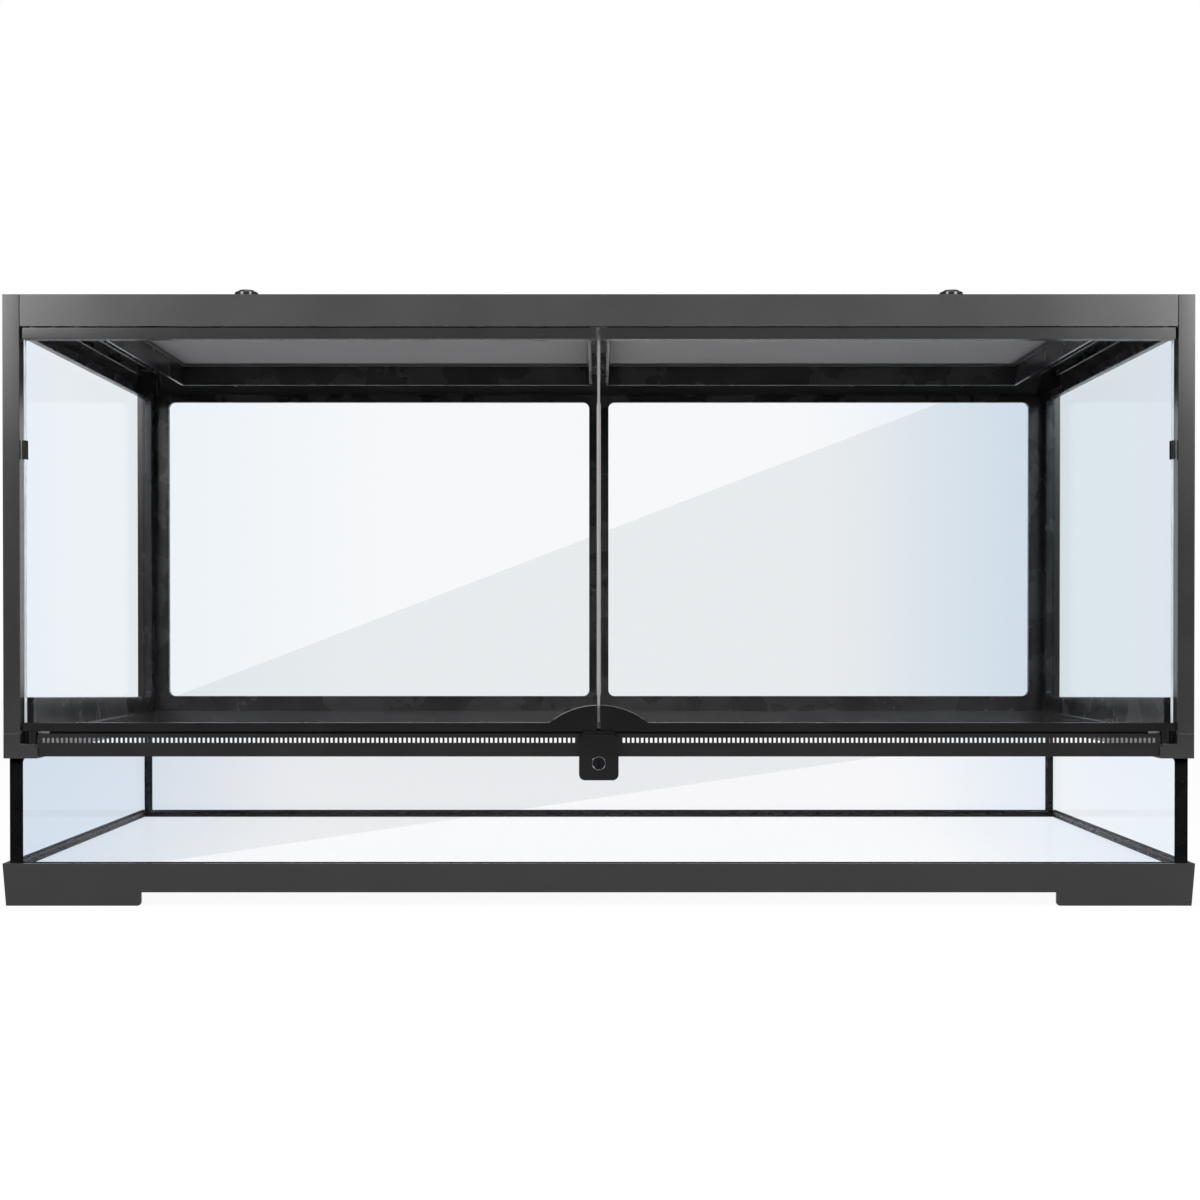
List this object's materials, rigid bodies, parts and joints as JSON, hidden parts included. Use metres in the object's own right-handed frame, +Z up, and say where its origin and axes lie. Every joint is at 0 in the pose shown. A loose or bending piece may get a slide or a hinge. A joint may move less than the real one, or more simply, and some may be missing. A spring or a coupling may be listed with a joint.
{
  "type": "reptile terrarium",
  "caption": "Front-opening glass terrarium: a glued tank in a moulded base, framed windows, hinged glass doors over a slotted air strip, a key lock and lift-out top screens.",
  "frame": {"origin": "on the floor, in the middle of the box that the whole object fills", "axes": "+X to the right seen from the front, +Y towards the back, +Z up; the doors face -Y"},
  "size_m": [1.2, 0.611, 0.6218],
  "materials": {
    "moulded_plastic": "satin black moulded ABS",
    "dark_plastic": "polished black moulded ABS",
    "tank_glass": "clear float glass with ground edges",
    "window_glass": "clear float glass",
    "door_glass": "clear float glass with polished edges",
    "sealant": "glossy black silicone sealant",
    "clear_seal": "frosted clear soft PVC profile",
    "pin_steel": "drawn steel",
    "lock_steel": "black plated die-cast zinc",
    "net_wire": "powder-coated woven wire"
  },
  "bodies": {
    "cage": {"base_frame": "moulded_plastic", "floor_glass": "tank_glass", "tank_front_glass": "tank_glass", "tank_back_glass": "tank_glass", "tank_left_glass": "tank_glass", "tank_right_glass": "tank_glass", "tank_seals": "sealant", "mid_frame": "moulded_plastic", "vent_strip": "dark_plastic", "sill_rib": "dark_plastic", "left_bracket": "moulded_plastic", "right_bracket": "moulded_plastic", "front_left_post": "moulded_plastic", "front_right_post": "moulded_plastic", "rear_left_post": "moulded_plastic", "rear_right_post": "moulded_plastic", "left_window_frame": "dark_plastic", "right_window_frame": "dark_plastic", "back_window_frame": "dark_plastic", "left_window_glass": "window_glass", "right_window_glass": "window_glass", "back_left_glass": "window_glass", "back_right_glass": "window_glass", "top_frame": "moulded_plastic", "hinge_pins": "pin_steel", "lock_housing": "dark_plastic"},
    "left_door": {"left_door_glass": "door_glass", "left_door_top_strip": "moulded_plastic", "left_door_foot_strip": "dark_plastic", "left_door_clip": "dark_plastic", "door_seal": "clear_seal"},
    "right_door": {"right_door_glass": "door_glass", "right_door_top_strip": "moulded_plastic", "right_door_foot_strip": "dark_plastic", "right_door_clip": "dark_plastic"},
    "key_cylinder": {"lock_cylinder": "lock_steel"},
    "bolt": {"lock_bolt": "pin_steel"},
    "left_screen": {"left_screen_frame": "moulded_plastic", "left_screen_net": "net_wire"},
    "right_screen": {"right_screen_frame": "moulded_plastic", "right_screen_net": "net_wire"},
    "left_knob": {"left_screen_knob": "dark_plastic"},
    "right_knob": {"right_screen_knob": "dark_plastic"},
    "left_shutter": {"left_inlet_shutter": "dark_plastic"},
    "right_shutter": {"right_inlet_shutter": "dark_plastic"}
  },
  "joints": [
    {"name": "left_door_swing", "type": "hinge", "parent": "cage", "child": "left_door", "pos_m": [-0.571, -0.2865, 0.37], "axis": [0, 0, -1], "range_deg": [0, 105]},
    {"name": "right_door_swing", "type": "hinge", "parent": "cage", "child": "right_door", "pos_m": [0.571, -0.2865, 0.37], "axis": [0, 0, 1], "range_deg": [0, 105]},
    {"name": "key_turn", "type": "hinge", "parent": "cage", "child": "key_cylinder", "pos_m": [0, -0.3, 0.1445], "axis": [0, -1, 0], "range_deg": [0, 90]},
    {"name": "bolt_lift", "type": "slide", "parent": "cage", "child": "bolt", "axis": [0, 0, 1], "range_m": [0, 0.008]},
    {"name": "left_screen_lift", "type": "slide", "parent": "cage", "child": "left_screen", "axis": [0, 0, 1], "range_m": [0, 0.08]},
    {"name": "right_screen_lift", "type": "slide", "parent": "cage", "child": "right_screen", "axis": [0, 0, 1], "range_m": [0, 0.08]},
    {"name": "left_knob_turn", "type": "hinge", "parent": "cage", "child": "left_knob", "pos_m": [-0.357, -0.2745, 0.615], "axis": [0, 0, 1], "range_deg": [0, 90]},
    {"name": "right_knob_turn", "type": "hinge", "parent": "cage", "child": "right_knob", "pos_m": [0.357, -0.2745, 0.615], "axis": [0, 0, -1], "range_deg": [0, 90]},
    {"name": "left_shutter_slide", "type": "slide", "parent": "cage", "child": "left_shutter", "axis": [1, 0, 0], "range_m": [0, 0.056]},
    {"name": "right_shutter_slide", "type": "slide", "parent": "cage", "child": "right_shutter", "axis": [-1, 0, 0], "range_m": [0, 0.056]}
  ],
  "couplings": [
    {"joint": "bolt_lift", "follows": "key_turn", "m_per_rad": 0.00509}
  ]
}
